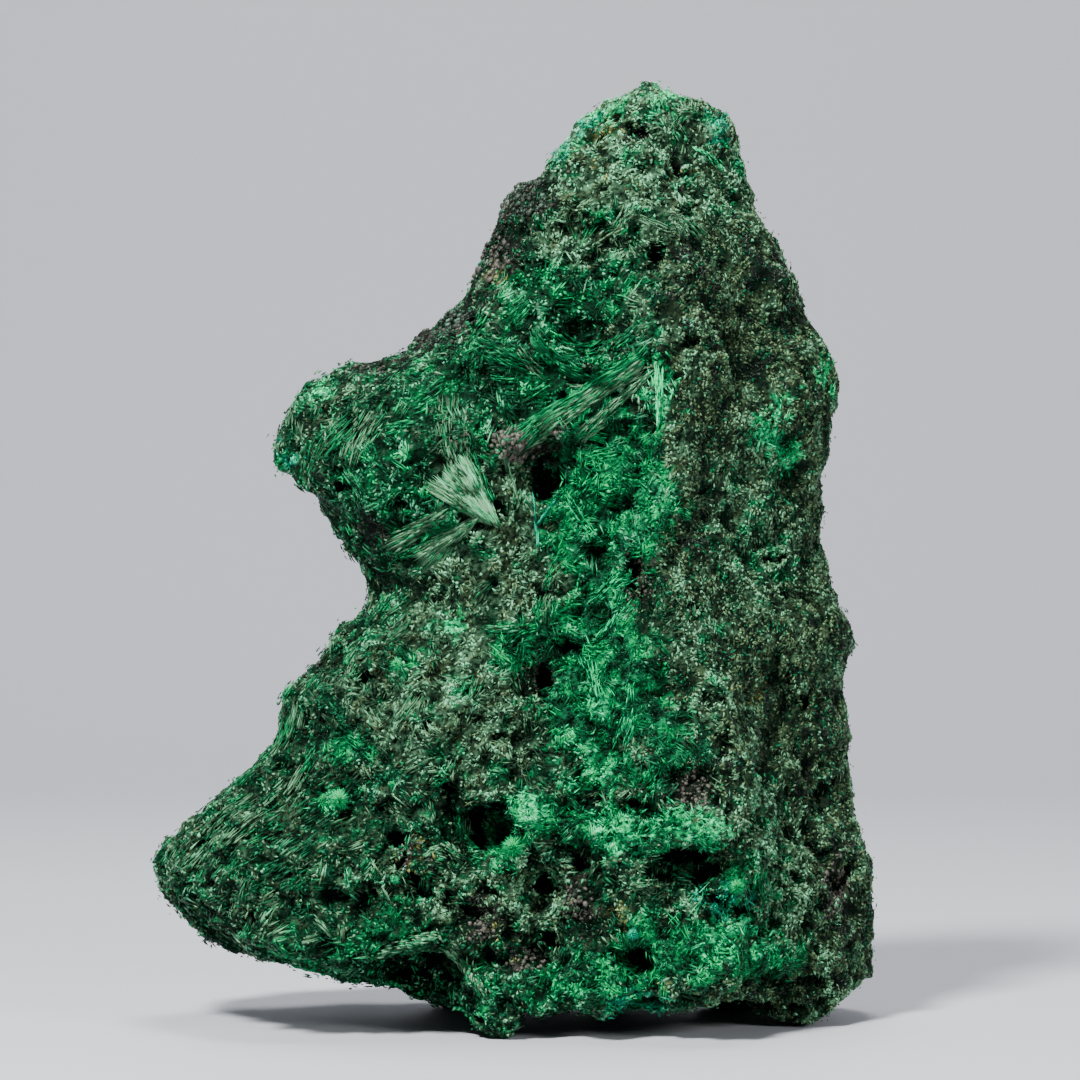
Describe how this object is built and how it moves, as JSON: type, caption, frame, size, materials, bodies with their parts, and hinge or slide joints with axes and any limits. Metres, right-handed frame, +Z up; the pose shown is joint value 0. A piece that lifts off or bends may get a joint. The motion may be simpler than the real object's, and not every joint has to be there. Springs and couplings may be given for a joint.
{
  "type": "malachite specimen",
  "caption": "Upright, free-standing mineral specimen: a craggy green blade of fibrous malachite with crystal fans, ledges, pits and cavities, standing on flat soles under its base.",
  "frame": {"origin": "On the ground, under the middle of the bounding box.", "axes": "+Z is up and runs through the height. +X runs across the broad face, to the right as seen from the front. -Y points to the front."},
  "size_m": [0.0728, 0.046, 0.0939],
  "materials": {
    "malachite": "rough crust of fine green needle crystals, vivid to near-black, with brown and ochre patches"
  },
  "bodies": {
    "root": {"malachite_specimen": "malachite"}
  },
  "joints": []
}
